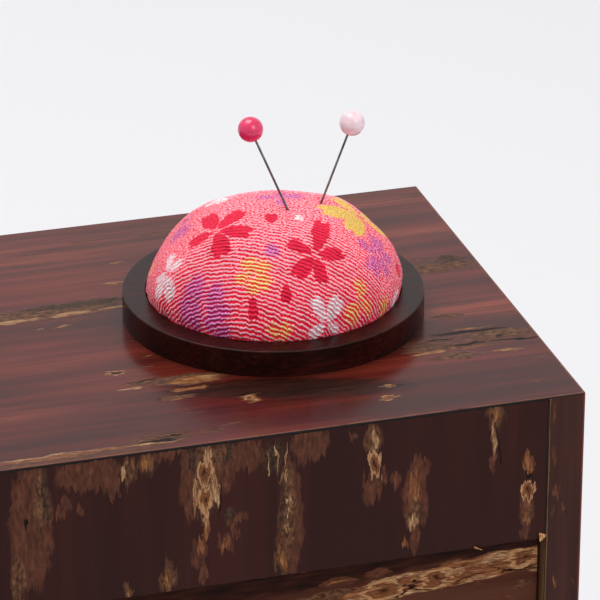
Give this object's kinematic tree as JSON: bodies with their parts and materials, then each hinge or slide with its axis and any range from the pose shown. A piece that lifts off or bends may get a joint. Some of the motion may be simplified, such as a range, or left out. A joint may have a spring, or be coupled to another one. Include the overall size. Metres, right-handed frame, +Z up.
{
  "type": "sewing box",
  "caption": "Upright bark-clad box with stacked drawers, a hinged lid over a shallow well, and a round pincushion set in a turned cup on its fixed top.",
  "frame": {"origin": "on the table under the middle of the cabinet, at the underside of its felt base", "axes": "+Z up, +X to the right along the width, -Y towards the user, out of the drawer fronts"},
  "size_m": [0.25, 0.134, 0.2367],
  "materials": {
    "cherry_bark": "polished cherry bark, satin",
    "carcass_wood": "planed, unfinished",
    "drawer_wood": "planed, unfinished",
    "turned_wood": "turned and lacquered dark brown, satin",
    "crepe": "printed crepe",
    "card": "grey board",
    "felt": "pressed wool felt",
    "brass": "brushed, slightly dulled",
    "pin_steel": "drawn wire",
    "magenta_pearl": "pearl lustre",
    "pink_pearl": "pearl lustre"
  },
  "bodies": {
    "cabinet": {"felt_base": "felt", "left_side_board": "carcass_wood", "right_side_board": "carcass_wood", "bottom_board": "carcass_wood", "lower_shelf": "carcass_wood", "upper_shelf": "carcass_wood", "well_floor": "carcass_wood", "fascia_board": "carcass_wood", "back_board": "carcass_wood", "fixed_top_board": "carcass_wood", "seam_rail": "carcass_wood", "top_bark": "cherry_bark", "left_bark": "cherry_bark", "right_bark": "cherry_bark", "fascia_bark": "cherry_bark", "back_bark": "cherry_bark", "left_stile_bark": "cherry_bark", "right_stile_bark": "cherry_bark", "rail_bark": "cherry_bark", "hinge_leaves_fixed": "brass", "hinge_screws_fixed": "brass", "hinge_pins": "brass", "pincushion_cup": "turned_wood", "pincushion_card": "card", "pincushion_pad": "crepe"},
    "lid": {"lid_board": "carcass_wood", "lid_bark": "cherry_bark", "lid_knob": "turned_wood", "hinge_leaves_lid": "brass", "hinge_screws_lid": "brass"},
    "magenta_pin": {"magenta_pin_shaft": "pin_steel", "magenta_pin_head": "magenta_pearl"},
    "pearl_pin": {"pearl_pin_shaft": "pin_steel", "pearl_pin_head": "pink_pearl"},
    "top_drawer": {"top_drawer_front": "carcass_wood", "top_drawer_bark": "cherry_bark", "top_drawer_left_side": "drawer_wood", "top_drawer_right_side": "drawer_wood", "top_drawer_back": "drawer_wood", "top_drawer_base": "drawer_wood", "top_drawer_knob": "turned_wood"},
    "middle_drawer": {"middle_drawer_front": "carcass_wood", "middle_drawer_bark": "cherry_bark", "middle_drawer_left_side": "drawer_wood", "middle_drawer_right_side": "drawer_wood", "middle_drawer_back": "drawer_wood", "middle_drawer_base": "drawer_wood", "middle_drawer_knob": "turned_wood"},
    "bottom_drawer": {"bottom_drawer_front": "carcass_wood", "bottom_drawer_bark": "cherry_bark", "bottom_drawer_left_side": "drawer_wood", "bottom_drawer_right_side": "drawer_wood", "bottom_drawer_back": "drawer_wood", "bottom_drawer_base": "drawer_wood", "bottom_drawer_knob": "turned_wood"}
  },
  "joints": [
    {"name": "lid_hinge", "type": "hinge", "parent": "cabinet", "child": "lid", "pos_m": [-0.07015, 0.061, 0.1775], "axis": [-1, 0, 0], "range_deg": [0, 100]},
    {"name": "top_drawer_slide", "type": "slide", "parent": "cabinet", "child": "top_drawer", "axis": [0, -1, 0], "range_m": [0, 0.085]},
    {"name": "middle_drawer_slide", "type": "slide", "parent": "cabinet", "child": "middle_drawer", "axis": [0, -1, 0], "range_m": [0, 0.085]},
    {"name": "bottom_drawer_slide", "type": "slide", "parent": "cabinet", "child": "bottom_drawer", "axis": [0, -1, 0], "range_m": [0, 0.085]},
    {"name": "magenta_pin_pull", "type": "slide", "parent": "cabinet", "child": "magenta_pin", "axis": [-0.3744, 0.1116, 0.9205], "range_m": [0, 0.015]},
    {"name": "pearl_pin_pull", "type": "slide", "parent": "cabinet", "child": "pearl_pin", "axis": [0.3199, -0.0954, 0.9426], "range_m": [0, 0.015]}
  ]
}
